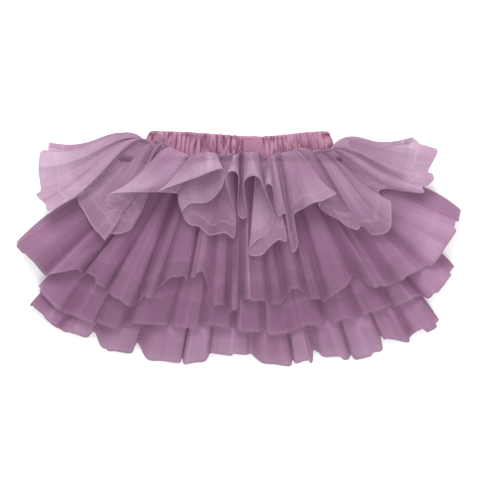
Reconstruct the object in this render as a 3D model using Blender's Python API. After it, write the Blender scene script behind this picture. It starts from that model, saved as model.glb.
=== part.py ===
"""A small child's tutu skirt, laid flat on its back.

A gathered cotton waistband lies at the +Y end. Four tiers of tulle are gathered on to its
lower edge, the shortest outermost, and fan out towards -Y. +Z is up, away from the surface
that the skirt lies on, and the origin is under the middle of the whole skirt.
Each tier is one closed ring of cloth: its front lies on top and its back underneath.
"""
import math
from bisect import bisect_right
from collections import namedtuple

import bmesh
import bpy

# Sizes are in millimetres and are turned into metres when a mesh is made
MM = 0.001

# Place of the waist seam's centre, measured from the middle of the whole skirt
SEAM_X = 0.0
SEAM_Y = 88.13

# Waist seam: a flattened ring with a straight run and two round ends
SEAM_HALF_RUN = 90.0
SEAM_MID_Z = 6.05
SEAM_EDGE = 95.0
SEAM_GAP = 0.3

# Tulle tiers
WALL = 1.0
RING_PITCH = WALL + SEAM_GAP
OUTER_RING_RADIUS = 6.05
BACK_COLUMNS_PER_WAVE = 2
BACK_HEM_WAVE = 1.5

# How high a crest's two ends are beside its middle
CREST_ENDS = 0.85
# The side folds lie half way between the front and the back
SIDE_DROP = 0.5
# Places round each end of the seam's ring: degrees from the front, and how far the hem
# there has come from the side fold towards its neighbour
Corner = namedtuple("Corner", "turn blend")
CORNERS = (Corner(45, 0.3), Corner(0, 0.6))
FRONT_TURN = 0
SIDE_TURN = 90
BACK_TURN = 180
# How far from the seam a ruffle has swelled
SWELL_AWAY = 12.0
# Near the seam's ends each inner tier turns to the side a wall further down than the last
END_WIDTH = 12.0
# Elsewhere each inner tier's front starts to rise this much later than the last one's
RISE_LATER = 0.2
# How far the cloth runs straight down from the seam before it fans out, by the distance of
# its root from the seam's end. The outer columns turn to the side first.
StraightRun = namedtuple("StraightRun", "from_end run")
STRAIGHT_RUNS = (
    StraightRun(0, 5.5),
    StraightRun(4, 7.0),
    StraightRun(7, 8.0),
    StraightRun(11, 9.0),
    StraightRun(16, 9.5),
    StraightRun(24, 8.5),
    StraightRun(32, 6.5),
    StraightRun(46, 3.0),
)
# A side fold itself turns to the side sooner by this much
SIDE_SOONER = 2.5
# A ruffle of the top tier rises fastest near the seam
RUFFLE_RISE = 0.7

# Waistband
BAND_HEIGHT = 30.0
BAND_DIP = 5.5
BAND_DIP_AT = 22.0
BAND_DIP_SPREAD = 60.0
BAND_TAPER = 4.5
# How much of the wall's thickness the band's two faces give up where they turn to meet
BAND_TURN_IN = 0.5
BAND_INNER_RADIUS = 2.1
BAND_VALLEY_RADIUS = 4.7
BAND_RIDGE_RADIUS = 6.05

# One fold of a tier's front, in order from the left side to the right. root is its place
# along the seam. Its crest runs along the hem, centred at crest, and half_crest is half of
# that run. The hem then drops to its foot, which runs the same way, or to the side fold.
# height and foot_height are above the tier's level. drop is how far the hem sinks from the
# front's level towards the back's. bow and foot_bow are how far the crest and the foot swell
# towards +Y on the way.
Fold = namedtuple(
    "Fold",
    "root crest half_crest height foot half_foot foot_height drop bow foot_bow",
    defaults=((0, 0), 0, 0, 0, 0))

TIER_1_FOLDS = (
    Fold(-84, (-197, 0), (0, -7), 9, (-197, -15), (0, 0), 3, 0.3),
    Fold(-79, (-195, -32), (3, -9), 15, (-173, -45), (0, 0), 0, 0.08),
    Fold(-70, (-148, -57), (12, -6), 5, (-124, -62), (0, 0)),
    Fold(-58, (-84, -50), (14, 2), 20, (-54, -62), (8, -4), 2, 0, 3, 7),
    Fold(-35, (-34, -20), (11, 2), 31, (-13, -68), (4, -1), 2, 0, 12, 12),
    Fold(-14, (-5, -22), (3, -1), 20, (3, -57), (0, 0), 10, 0, 13, 12),
    Fold(3, (13, -27), (4, 0), 30, (28, -83), (3, 1), 2, 0, 13, 11),
    Fold(22, (32, -32), (4, -1), 22, (52, -76), (0, 0), 7, 0, 10, 8),
    Fold(37, (62, -88), (2, 1), 8, (68, -66), (0, 0), 3, 0, 8, 8),
    Fold(47, (75, -50), (9, 1), 24, (88, -56), (0, 0), 12, 0, 7, 4),
    Fold(58, (108, -62), (12, -8), 20, (127, -66), (0, 0), 10, 0, 2, 0),
    Fold(67, (143, -66), (9, 3), 18, (156, -48), (0, 0), 4),
    Fold(74, (171, -36), (9, 3), 10, (186, -27), (0, 0), 2),
    Fold(80, (192, -18), (1, 5), 12, (191, -7), (0, 0), 4, 0.15),
    Fold(85, (194, 3), (1, 4), 9, (191, 11), (0, 0), 4, 0.3),
)
TIER_2_FOLDS = (
    Fold(-89, (-213, -94), (8, -8), 9, (-196, -114), drop=0.1),
    Fold(-80, (-177, -113), (14, 2), 9, (-159, -119)),
    Fold(-69, (-145, -119), (10, -5), 9, (-131, -129)),
    Fold(-58, (-119, -138), (9, -8), 10, (-104, -144)),
    Fold(-48, (-91, -135), (5, 1), 6, (-81, -126)),
    Fold(-37, (-62, -116), (7, 1), 10, (-49, -118)),
    Fold(-26, (-42, -114), (6, 0), 10, (-30, -135)),
    Fold(-15, (-21, -141), (5, 0), 9, (-12, -147)),
    Fold(-4, (-5, -150), (3, 0), 9, (2, -143)),
    Fold(7, (16, -140), (9, 0), 10, (31, -144)),
    Fold(18, (38, -143), (3, 0), 9, (46, -137)),
    Fold(29, (56, -129), (4, 0), 10, (67, -135)),
    Fold(40, (76, -141), (4, 0), 9, (86, -138)),
    Fold(51, (101, -126), (10, 7), 11, (117, -116)),
    Fold(63, (140, -126), (7, 0), 10, (155, -124)),
    Fold(75, (171, -116), (8, 4), 9, (186, -109)),
    Fold(83, (206, -84), (10, 15), 10, None, drop=0.1),
)
TIER_3_FOLDS = (
    Fold(-88, (-189, -139), (8, -8), 7, (-174, -151), drop=0.1),
    Fold(-74, (-157, -157), (8, -4), 7, (-143, -160)),
    Fold(-60, (-130, -165), (8, -2), 7, (-115, -165)),
    Fold(-45, (-89, -166), (14, -1), 7, (-70, -165)),
    Fold(-30, (-54, -168), (11, 0), 7, (-38, -166)),
    Fold(-15, (-21, -166), (10, -1), 7, (-6, -167)),
    Fold(0, (9, -170), (10, 0), 7, (25, -168)),
    Fold(15, (40, -172), (10, 1), 7, (57, -168)),
    Fold(29, (72, -166), (10, 1), 7, (88, -161)),
    Fold(43, (105, -161), (10, 3), 7, (121, -155)),
    Fold(57, (137, -151), (10, 3), 7, (153, -145)),
    Fold(71, (168, -141), (10, 4), 7, (184, -136)),
    Fold(83, (199, -127), (8, 11), 8, None, drop=0.1),
)
TIER_4_FOLDS = (
    Fold(-86, (-199, -156), (12, -10), 8, (-181, -169), drop=0.05, bow=-5),
    Fold(-70, (-164, -175), (11, -3), 7, (-146, -171), bow=-3),
    Fold(-52, (-123, -188), (15, -2), 8, (-103, -184)),
    Fold(-35, (-77, -202), (16, -2), 8, (-58, -200)),
    Fold(-20, (-45, -202), (11, 2), 7, (-29, -192)),
    Fold(-5, (-10, -194), (16, -2), 7, (13, -195)),
    Fold(11, (37, -204), (14, -2), 8, (54, -200)),
    Fold(26, (65, -201), (8, 2), 7, (75, -187)),
    Fold(40, (96, -196), (12, 0), 7, (112, -192)),
    Fold(55, (130, -193), (14, 3), 8, (143, -177)),
    Fold(70, (159, -182), (12, -2), 7, (174, -179)),
    Fold(82, (187, -170), (8, 4), 8, None, drop=0.05),
)

# Levels of a tier at each distance from the seam. front and back are the outer faces' lowest
# levels, front_rise and back_rise are how much their folds add there.
Level = namedtuple("Level", "away front front_rise back back_rise")

TIER_1_LEVELS = (
    Level(0, 12.1, 0, 0, 0),
    Level(3, 14.5, 0, 0, 0),
    Level(25, 22.4, 0, 0, 0.5),
    Level(60, 27.0, 0, 0, 0.6),
    Level(120, 29.0, 0, 0, 0.6),
)
TIER_2_LEVELS = (
    Level(0, 10.8, 0, 1.3, 0),
    Level(25, 18.2, 2, 2.3, 0.5),
    Level(60, 20.6, 4, 2.4, 0.6),
    Level(95, 20.6, 6, 2.4, 0.6),
    Level(130, 19.7, 9.5, 0, 0.6),
    Level(136, 19.6, 10, 0, 0.6),
    Level(160, 20.6, 11, 0, 0.6),
)
TIER_3_LEVELS = (
    Level(0, 9.5, 0, 2.6, 0),
    Level(25, 14.9, 1.5, 4.6, 0.5),
    Level(60, 16.8, 2, 4.8, 0.6),
    Level(95, 16.8, 2, 4.8, 0.6),
    Level(136, 13.8, 4, 2.4, 0.6),
    Level(156, 12.1, 6.5, 0, 0.6),
    Level(160, 11.8, 7, 0, 0.6),
    Level(180, 15.5, 7.5, 0, 0.6),
)
TIER_4_LEVELS = (
    Level(0, 8.2, 0, 3.9, 0),
    Level(25, 11.6, 1.5, 6.9, 0.5),
    Level(60, 13.0, 2, 7.2, 0.6),
    Level(95, 13.0, 2, 7.2, 0.6),
    Level(136, 10.4, 2, 4.8, 0.6),
    Level(160, 7.5, 3, 2.4, 0.6),
    Level(175, 6.4, 5.5, 0, 0.6),
    Level(180, 6.0, 7, 0, 0.6),
    Level(215, 6.0, 8, 0, 0.6),
)

# A tier: where its side folds end, how far its back reaches, how many waves its back has,
# the distances that its rows keep, and the shares of the way left that its last rows take
Tier = namedtuple(
    "Tier", "name ring folds levels left right side_bow back_reach back_waves rows shares")

TIERS = (
    Tier("tier_1", 0, TIER_1_FOLDS, TIER_1_LEVELS, (-190, 19), (173, 20), (22, 20),
         90, 10, (), (0.1, 0.28, 0.52, 0.78, 1.0)),
    Tier("tier_2", 1, TIER_2_FOLDS, TIER_2_LEVELS, (-223, -80), (223, -48), (0, 0),
         136, 13, (25, 60, 95), (0.5, 1.0)),
    Tier("tier_3", 2, TIER_3_FOLDS, TIER_3_LEVELS, (-202, -125), (217, -105), (0, 0),
         160, 14, (25, 60, 95, 136), (1.0,)),
    Tier("tier_4", 3, TIER_4_FOLDS, TIER_4_LEVELS, (-212, -146), (202, -159), (-5, 0),
         178, 15, (25, 60, 95, 136, 160), (0.5, 1.0)),
)

# A stretch of the waistband's front and the number of gathers in it
Stretch = namedtuple("Stretch", "start end gathers")

BAND_STRETCHES = (
    Stretch(-90, -70, 5),
    Stretch(-70, 5, 13),
    Stretch(5, 26, 1),
    Stretch(26, 50, 5),
    Stretch(50, 90, 11),
)
# A row of the waistband: its share of the height, how full its gathers are there, and how
# far its outer face has turned in to meet the inner one
BandRow = namedtuple("BandRow", "share fullness turn")

BAND_ROWS = (
    BandRow(0.0, 0.45, 0.25),
    BandRow(0.12, 0.9, 0.0),
    BandRow(0.85, 1.0, 0.0),
    BandRow(0.96, 0.8, 0.3),
    BandRow(1.0, 0.5, 0.7),
)

# A column of a tier: its root on the seam's ring and degrees round the ring's end, its hem,
# the hem's height and place between front and back, and the bow of its path
Place = namedtuple("Place", "root turn x y height drop bow")


def smooth_value(before, start, end, after, share):
    """Catmull-Rom value between start and end."""
    square = share * share
    cube = square * share
    return 0.5 * (2 * start + (end - before) * share
                  + (2 * before - 5 * start + 4 * end - after) * square
                  + (3 * start - before - 3 * end + after) * cube)


def between_places(places, index, share):
    """The place a share of the way from places[index] to the next, round a closed ring."""
    count = len(places)
    four = [places[(index + step) % count] for step in (-1, 0, 1, 2)]
    values = [smooth_value(*column, share) for column in zip(*four)]
    straight = [a + (b - a) * share for a, b in zip(four[1], four[2])]
    return Place(root=straight[0], turn=straight[1], x=values[2], y=values[3],
                 height=max(0.0, values[4]), drop=straight[5], bow=straight[6])


def level_at(levels, away):
    """The tier's levels at a distance from the seam, straight between the table's rows."""
    stops = [level.away for level in levels]
    index = min(max(bisect_right(stops, away), 1), len(levels) - 1)
    low, high = levels[index - 1], levels[index]
    share = min(max((away - low.away) / (high.away - low.away), 0.0), 1.0)
    return Level(*(a + (b - a) * share for a, b in zip(low, high)))


def along(centre, half, side):
    """The start (side -1) or end (side 1) of a crest or foot."""
    return centre[0] + side * half[0], centre[1] + side * half[1]


def front_places(tier):
    """Crest start and end, then foot start and end, of every fold of the front."""
    places = []
    folds = tier.folds
    for index, fold in enumerate(folds):
        following = folds[index + 1] if index + 1 < len(folds) else None
        room = following.root - fold.root if following else SEAM_HALF_RUN - fold.root
        foot_drop = (fold.drop + following.drop) / 2 if following else fold.drop
        crest = fold.height * CREST_ENDS
        wide_foot = fold.half_foot != (0, 0)
        ends = [(along(fold.crest, fold.half_crest, -1), crest, fold.drop, fold.bow),
                (along(fold.crest, fold.half_crest, 1), crest, fold.drop, fold.bow)]
        for side in ((-1, 1) if wide_foot else (0,)) if fold.foot else ():
            ends.append((along(fold.foot, fold.half_foot, side), fold.foot_height,
                         foot_drop, fold.foot_bow))
        for step, ((x, y), height, drop, bow) in enumerate(ends):
            root = fold.root + room * step / len(ends)
            places.append(Place(root, FRONT_TURN, x, y, height, drop, bow))
    return places


def back_places(tier):
    """Low and high places of the back's even waves, from the right side to the left."""
    places = []
    right_angle = min(math.atan2(tier.right[1], tier.right[0] - SEAM_EDGE), 0.0)
    left_angle = math.atan2(tier.left[1], tier.left[0] + SEAM_EDGE)
    left_angle = -math.pi if left_angle > 0 else left_angle
    steps = tier.back_waves * BACK_COLUMNS_PER_WAVE
    for step in range(1, steps):
        share = step / steps
        angle = right_angle + (left_angle - right_angle) * share
        ridge = 1.0 if step % BACK_COLUMNS_PER_WAVE == 1 else 0.0
        reach = tier.back_reach - BACK_HEM_WAVE * ridge
        root = SEAM_HALF_RUN * (1 - 2 * share)
        places.append(Place(root, BACK_TURN, root + reach * math.cos(angle),
                            reach * math.sin(angle), ridge, 1.0, 0.0))
    return places


def corner_places(side, neighbour, end_turn):
    """Columns that carry a tier's cloth round the end of the seam's ring."""
    places = []
    for corner in CORNERS:
        turn = abs(end_turn - corner.turn)
        mixed = [a + (b - a) * corner.blend for a, b in zip(side, neighbour)]
        angle = math.radians(turn)
        places.append(Place(side.root, turn, *mixed[2:5], (1 - math.cos(angle)) / 2,
                            side.bow * math.sin(angle)))
    return places


def ring_places(tier):
    """Every column of a tier, clockwise from the left side fold, seen from above."""
    front = front_places(tier)
    back = back_places(tier)
    left = Place(-SEAM_HALF_RUN, SIDE_TURN, *tier.left, 0.0, SIDE_DROP, tier.side_bow[0])
    right = Place(SEAM_HALF_RUN, SIDE_TURN, *tier.right, 0.0, SIDE_DROP, tier.side_bow[1])
    front = (corner_places(left, front[0], FRONT_TURN) + front
             + corner_places(right, front[-1], FRONT_TURN)[::-1])
    back = (corner_places(right, back[0], BACK_TURN) + back
            + corner_places(left, back[-1], BACK_TURN)[::-1])
    controls = [left] + front + [right] + back
    columns = []
    for index, place in enumerate(controls):
        columns.append(place)
        following = controls[(index + 1) % len(controls)]
        on_crest = place.height == following.height and place.height > 0
        leaves_crest = place.height > following.height
        if 1 <= index <= len(front) and (on_crest or leaves_crest):
            middle = between_places(controls, index, 0.5)
            if on_crest:
                middle = middle._replace(height=place.height / CREST_ENDS)
            columns.append(middle)
    return columns


def away_from_seam(x, y):
    """Distance in plan from the straight run of the waist seam."""
    return math.hypot(max(abs(x) - SEAM_EDGE, 0.0), y)


def swell(bow, share, length):
    """How far a column stands off its straight path: a quick swell that runs out by the hem."""
    if bow < 0:
        return bow * math.sin(math.pi * share)
    return bow * (1 - share) ** 1.5 * (1 - math.exp(-(share * length / SWELL_AWAY) ** 2))


def root_point(tier, place):
    """Where a column leaves the waist seam's ring: x, and its share of the way to the back."""
    radius = OUTER_RING_RADIUS - tier.ring * RING_PITCH
    turn = math.radians(place.turn)
    x = place.root + math.copysign(radius * math.sin(turn), place.root)
    return x, (1 - math.cos(turn)) / 2


def straight_run(tier, place):
    """How far a column runs straight down from the seam before it fans out."""
    from_end = min(SEAM_HALF_RUN - abs(place.root), STRAIGHT_RUNS[-1].from_end)
    stops = [row.from_end for row in STRAIGHT_RUNS]
    index = min(max(bisect_right(stops, from_end), 1), len(stops) - 1)
    low, high = STRAIGHT_RUNS[index - 1], STRAIGHT_RUNS[index]
    share = (from_end - low.from_end) / (high.from_end - low.from_end)
    near_end = max(1 - from_end / END_WIDTH, 0.0)
    later = RING_PITCH * near_end + RISE_LATER * (1 - near_end) * (place.turn < BACK_TURN)
    sooner = SIDE_SOONER * math.sin(math.radians(place.turn))
    return low.run + (high.run - low.run) * share + tier.ring * later - sooner


def plan_point(tier, place, share):
    """Where a column has come to in plan, a share of the way from its straight run to its hem."""
    root_x, _ = root_point(tier, place)
    start_y = -straight_run(tier, place)
    length = math.hypot(place.x - root_x, place.y - start_y)
    return (root_x + (place.x - root_x) * share,
            start_y + (place.y - start_y) * share + swell(place.bow, share, length))


def share_at(tier, place, away):
    """The share of the way at which a column is a given distance from the seam."""
    low, high = 0.0, 1.0
    for _ in range(30):
        middle = (low + high) / 2
        if away_from_seam(*plan_point(tier, place, middle)) < away:
            low = middle
        else:
            high = middle
    return low


def row_shares(tier, place):
    """The shares of the way at which a column has its rows, from the end of its straight run."""
    shares = [0.0] + [share_at(tier, place, away) for away in tier.rows]
    last = shares[-1]
    return shares + [last + (1 - last) * share for share in tier.shares]


def tier_point(tier, place, share):
    """A point of a tier's outer face."""
    x, y = plan_point(tier, place, share)
    away = away_from_seam(x, y) if share > 0 else 0.0
    level = level_at(tier.levels, away)
    if tier.ring == 0:
        front = level.front + place.height * share ** RUFFLE_RISE
    else:
        highest = max(fold.height for fold in tier.folds)
        front = level.front + level.front_rise * place.height / highest
    back = level.back + (level.back_rise * place.height if place.turn == BACK_TURN else 0.0)
    _, root_drop = root_point(tier, place)
    drop = root_drop + (place.drop - root_drop) * share ** 2
    return x, y, front + (back - front) * drop


def seam_point(tier, place):
    """The first point of a column, on the waist seam's ring."""
    x, drop = root_point(tier, place)
    level = tier.levels[0]
    return x, 0.0, level.front + (level.back - level.front) * drop


def make_material(name, colour, roughness):
    material = bpy.data.materials.new(name)
    material.use_nodes = True
    shader = material.node_tree.nodes["Principled BSDF"]
    shader.inputs["Base Color"].default_value = (*colour, 1.0)
    shader.inputs["Roughness"].default_value = roughness
    shader.inputs["Metallic"].default_value = 0.0
    return material


def ring_mesh(columns, rows, point):
    """A grid of points joined into a ring: point(column, row) gives millimetres."""
    mesh = bmesh.new()
    bmesh.ops.create_grid(mesh, x_segments=columns, y_segments=rows, size=1.0)
    for vert in mesh.verts:
        column = round((vert.co.x + 1) / 2 * columns)
        row = round((vert.co.y + 1) / 2 * rows)
        x, y, z = point(column % columns, row)
        vert.co = ((x + SEAM_X) * MM, (y + SEAM_Y) * MM, z * MM)
    bmesh.ops.remove_doubles(mesh, verts=mesh.verts, dist=1e-7)
    return mesh


def add_object(name, mesh, material):
    data = bpy.data.meshes.new(name)
    mesh.to_mesh(data)
    mesh.free()
    data.materials.append(material)
    data.shade_smooth()
    made = bpy.data.objects.new(name, data)
    bpy.context.scene.collection.objects.link(made)
    return made


def make_tier(tier, material):
    places = ring_places(tier)
    grid = [[seam_point(tier, place)]
            + [tier_point(tier, place, share) for share in row_shares(tier, place)]
            for place in places]
    rows = len(grid[0]) - 1
    mesh = ring_mesh(len(grid), rows, lambda column, row: grid[column][rows - row])
    made = add_object(tier.name, mesh, material)
    solidify = made.modifiers.new("cloth_thickness", "SOLIDIFY")
    solidify.thickness = WALL * MM
    solidify.offset = -1.0
    solidify.use_even_offset = False
    solidify.use_rim = True
    return made


def band_columns():
    """Places round the waistband: along the front, down the right end, back and up."""
    front = []
    for stretch in BAND_STRETCHES:
        count = 2 * stretch.gathers
        for step in range(count):
            share = step / count
            front.append((stretch.start + (stretch.end - stretch.start) * share, step % 2, 0.0))
    front.append((SEAM_HALF_RUN, 0, 0.0))
    right = [(SEAM_HALF_RUN, 1, 0.5)]
    back = [(x, ridge, 1.0) for x, ridge, _ in reversed(front)]
    left = [(-SEAM_HALF_RUN, 1, 0.5)]
    return front + right + back + left


def band_point(column, row, outer):
    """A point of the waistband's outer or inner face."""
    x, ridge, drop = column
    radius = BAND_INNER_RADIUS
    if outer:
        full = BAND_VALLEY_RADIUS + (BAND_RIDGE_RADIUS - BAND_VALLEY_RADIUS) * ridge * row.fullness
        radius = full + (BAND_INNER_RADIUS - full) * row.turn * BAND_TURN_IN
    else:
        radius += (BAND_VALLEY_RADIUS - BAND_INNER_RADIUS) * row.turn * BAND_TURN_IN
    turn = math.pi * drop
    taper = 1 - BAND_TAPER / SEAM_HALF_RUN * row.share ** 1.5
    across = x * taper + math.copysign(radius * math.sin(turn), x)
    dip = BAND_DIP * math.exp(-((x - BAND_DIP_AT) / BAND_DIP_SPREAD) ** 2)
    height = SEAM_GAP + (BAND_HEIGHT - SEAM_GAP - dip) * row.share
    return across, height, SEAM_MID_Z + radius * math.cos(turn)


def make_waistband(material):
    columns = band_columns()
    loop = [(row, True) for row in BAND_ROWS] + [(row, False) for row in reversed(BAND_ROWS)]
    count = len(loop)
    mesh = ring_mesh(len(columns), count,
                     lambda column, row: band_point(columns[column], *loop[row % count]))
    return add_object("waistband", mesh, material)


def clear_scene():
    for thing in list(bpy.data.objects):
        bpy.data.objects.remove(thing, do_unlink=True)


def main():
    clear_scene()
    cotton = make_material("waistband_cotton", (0.42, 0.19, 0.29), 0.85)
    make_waistband(cotton)
    for tier in TIERS:
        tulle = make_material(tier.name + "_tulle", (0.32, 0.17, 0.29), 0.6)
        make_tier(tier, tulle)


main()
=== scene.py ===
"""The looks of a small child's tutu skirt, laid flat and seen from above.

Each tier of tulle is one thin ring of cloth, gathered on to the waist seam and fanned out
towards -Y. The cotton waistband is gathered over its elastic at the +Y end.
Tables and helpers are in millimetres, measured from the middle of the waist seam.
"""
import math
from bisect import bisect_right
from collections import namedtuple

import bmesh
import bpy
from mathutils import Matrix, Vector, noise


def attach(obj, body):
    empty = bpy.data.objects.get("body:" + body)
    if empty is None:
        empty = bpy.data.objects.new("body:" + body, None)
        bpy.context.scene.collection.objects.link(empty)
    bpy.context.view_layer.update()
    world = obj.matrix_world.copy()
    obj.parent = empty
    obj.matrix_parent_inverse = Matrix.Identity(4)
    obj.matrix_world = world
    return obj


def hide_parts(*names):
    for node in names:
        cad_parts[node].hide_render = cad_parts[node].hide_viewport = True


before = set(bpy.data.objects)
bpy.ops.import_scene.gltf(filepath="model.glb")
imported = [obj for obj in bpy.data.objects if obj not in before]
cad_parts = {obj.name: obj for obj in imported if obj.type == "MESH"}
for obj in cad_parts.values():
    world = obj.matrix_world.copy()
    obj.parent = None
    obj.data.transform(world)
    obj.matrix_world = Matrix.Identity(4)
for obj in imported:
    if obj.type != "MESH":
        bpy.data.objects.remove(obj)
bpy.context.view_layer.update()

MM = 0.001

# The waist seam, as in the part: a flattened ring with a straight run and two round ends
SEAM_Y = 88.13
SEAM_HALF_RUN = 90.0
SEAM_MID_Z = 6.05
SEAM_EDGE = 95.0
SEAM_GAP = 0.3
RING_RADIUS = 6.05
RING_PITCH = 1.3

TULLE_THICKNESS = 0.3
COTTON_THICKNESS = 0.9
LOWEST_TULLE = 0.35
LOWEST_COTTON = 0.2

# Degrees round the seam's end
FRONT = 0
SIDE = 90
BACK = 180

# A column of cloth: its root on the seam and degrees round the seam's end, where its hem
# lies, how far it stands up there above the tier's level, how far it has sunk towards the
# back, and how far it bulges over the waistband, bows to the right and bows towards the
# waistband on its way
Column = namedtuple("Column", "root turn x y lift drop bulge bow rise", defaults=(0.0, 0.0))

# What follows a smooth curve from column to column. The rest goes straight.
SMOOTHED = ("x", "y", "lift")

# Where a tier's cloth turns at its side: the end of the fold, and how far it bulges over the
# waistband and bows towards it
SideFold = namedtuple("SideFold", "x y bulge rise")

# The columns between a side fold and its neighbour: their turn from the neighbour's, and how
# far they are on the way to it
SIDE_STEPS = ((45, 0.3), (0, 0.6))

# A tier's levels at each distance from the seam, as in the part
Level = namedtuple("Level", "away front front_rise back back_rise")

TIER_1_LEVELS = (
    Level(0, 12.1, 0, 0, 0),
    Level(3, 14.5, 0, 0, 0),
    Level(25, 22.4, 0, 0, 0.5),
    Level(60, 27.0, 0, 0, 0.6),
    Level(120, 29.0, 0, 0, 0.6),
)
TIER_2_LEVELS = (
    Level(0, 10.8, 0, 1.3, 0),
    Level(25, 18.2, 2, 2.3, 0.5),
    Level(60, 20.6, 4, 2.4, 0.6),
    Level(95, 20.6, 6, 2.4, 0.6),
    Level(130, 19.7, 9.5, 0, 0.6),
    Level(136, 19.6, 10, 0, 0.6),
    Level(160, 20.6, 11, 0, 0.6),
)
TIER_3_LEVELS = (
    Level(0, 9.5, 0, 2.6, 0),
    Level(25, 14.9, 1.5, 4.6, 0.5),
    Level(60, 16.8, 2, 4.8, 0.6),
    Level(95, 16.8, 2, 4.8, 0.6),
    Level(136, 13.8, 4, 2.4, 0.6),
    Level(156, 12.1, 6.5, 0, 0.6),
    Level(160, 11.8, 7, 0, 0.6),
    Level(180, 15.5, 7.5, 0, 0.6),
)
TIER_4_LEVELS = (
    Level(0, 8.2, 0, 3.9, 0),
    Level(25, 11.6, 1.5, 6.9, 0.5),
    Level(60, 13.0, 2, 7.2, 0.6),
    Level(95, 13.0, 2, 7.2, 0.6),
    Level(136, 10.4, 2, 4.8, 0.6),
    Level(160, 7.5, 3, 2.4, 0.6),
    Level(175, 6.4, 5.5, 0, 0.6),
    Level(180, 6.0, 7, 0, 0.6),
    Level(215, 6.0, 8, 0, 0.6),
)

# The top tier's hem, from the left side round its ruffles to the right. lift is how far it
# stands up there above the tier's level, and bow how far its cloth swings out to the right
# on the way there.
Hem = namedtuple("Hem", "root x y lift bow", defaults=(0.0,))

LEFT_WING = (
    Hem(-88, -190, 10, 3), Hem(-87, -197, 9, 3), Hem(-86, -199, -5, 6), Hem(-85, -199, -14, 3),
    Hem(-84, -197, -29, 5), Hem(-83, -201, -33, 7), Hem(-82, -199, -37, 9),
    Hem(-81, -192, -43, 11), Hem(-80, -188, -50, 12), Hem(-79.3, -178, -39, 6),
    Hem(-78.6, -169, -32, 1), Hem(-77.6, -162, -33, 0), Hem(-76.3, -160, -42, 0),
    Hem(-75, -154, -52, 2), Hem(-74, -146, -65, 4),
    Hem(-73, -139, -73, 4), Hem(-72, -133, -79, 3), Hem(-71, -137, -66, 0),
    Hem(-70, -130, -51, 2), Hem(-69, -117, -52, 5), Hem(-68, -129, -70, 1),
    Hem(-67, -120, -73, 1), Hem(-65, -106, -66, 0),
)
RUFFLE_2 = (
    Hem(-63, -113, -50, 2), Hem(-61, -129, -46, 6), Hem(-60, -131, -38, 13),
    Hem(-58, -127, -33, 19), Hem(-54, -110, -32, 24), Hem(-50, -92, -32, 26),
    Hem(-46, -75, -32, 24), Hem(-43, -61, -33, 18), Hem(-41, -68, -31, 20),
)
RUFFLE_3 = (
    Hem(-40, -80, -31, 26), Hem(-37, -60, -24, 33), Hem(-33, -40, -17, 36),
    Hem(-29, -25, -11, 37), Hem(-26, -16, -9, 35), Hem(-24, -14, -14, 29),
    Hem(-22, -17, -27, 19, -3), Hem(-20, -24, -36, 14, -9), Hem(-18, -33, -42, 11, -15),
    Hem(-16, -48, -43, 11, -20), Hem(-14.5, -55, -49, 9, -22), Hem(-13, -56, -54, 7, -17),
    Hem(-12, -50, -63, 5, -9), Hem(-11, -40, -66, 4, -3), Hem(-10, -31, -74, 4),
    Hem(-9, -25, -74, 5), Hem(-8, -14, -72, 5), Hem(-7, -5, -77, 3), Hem(-6, -3, -58, 3),
)
MIDDLE = (
    Hem(-5, -9, -40, 12), Hem(-4, -14, -17, 26), Hem(-3, -10, -12, 32), Hem(-2, -4, -12, 32),
    Hem(-1, 0, -18, 27), Hem(0, -1, -35, 18), Hem(1, -1, -52, 9), Hem(2, 3, -58, 4),
    Hem(3, 8, -54, 7), Hem(4, 5, -40, 16), Hem(5, 4, -25, 26), Hem(7, 8, -18, 33),
    Hem(9, 15, -16, 36), Hem(11, 21, -20, 34), Hem(12.5, 25, -30, 27), Hem(14, 32, -46, 17),
    Hem(15, 35, -58, 9), Hem(16, 32, -67, 5), Hem(17, 25, -75, 3), Hem(18, 17, -80, 2),
    Hem(19, 10, -88, 1), Hem(20, 11, -94, 1), Hem(21, 18, -95, 2), Hem(22, 24, -93, 3),
    Hem(23, 29, -87, 4), Hem(24, 39, -79, 5), Hem(25, 47, -80, 4), Hem(26, 44, -60, 4),
    Hem(27, 31, -45, 10),
)
SMALL_ARCH = (
    Hem(28, 25, -27, 24), Hem(29, 29, -24, 30), Hem(30, 33, -28, 27), Hem(31, 35, -42, 17),
    Hem(32, 39, -55, 9), Hem(33, 47, -53, 6), Hem(34, 50, -72, 4), Hem(35, 52, -89, 3),
    Hem(36, 55, -91, 2), Hem(37, 58, -83, 4), Hem(38, 56, -68, 7), Hem(39, 54, -56, 12),
)
RIGHT_RUFFLES = (
    Hem(40, 57, -51, 15), Hem(43, 65, -47, 19), Hem(46, 72, -43, 22), Hem(48.5, 85, -39, 24),
    Hem(50, 96, -33, 23), Hem(50.8, 90, -36, 16), Hem(51.6, 80, -44, 10), Hem(53, 84, -51, 8),
    Hem(55, 96, -58, 10), Hem(57, 106, -65, 12), Hem(59, 117, -69, 9),
    Hem(61, 121, -65, 5), Hem(63, 127, -69, 6), Hem(65, 133, -74, 6), Hem(67, 143, -73, 7),
    Hem(69, 150, -67, 9), Hem(70.3, 150, -55, 15), Hem(71.3, 149, -41, 17),
    Hem(72, 141, -36, 9), Hem(72.7, 139, -30, 3), Hem(74, 148, -28, 2),
)
RIGHT_WING = (
    Hem(76, 166, -31, 4), Hem(78, 183, -32, 4), Hem(79, 182, -27, 3), Hem(80, 188, -24, 5),
    Hem(82, 193, -19, 6), Hem(83, 192, -13, 4), Hem(84, 188, -10, 3), Hem(86, 197, 9, 5),
    Hem(88, 189, 14, 3), Hem(89, 180, 17, 1),
)
TIER_1_HEM = (LEFT_WING + RUFFLE_2 + RUFFLE_3 + MIDDLE + SMALL_ARCH + RIGHT_RUFFLES
              + RIGHT_WING)

# How far the top tier bulges up over the waistband, by the place of its root
Bulge = namedtuple("Bulge", "root reach")

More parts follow.
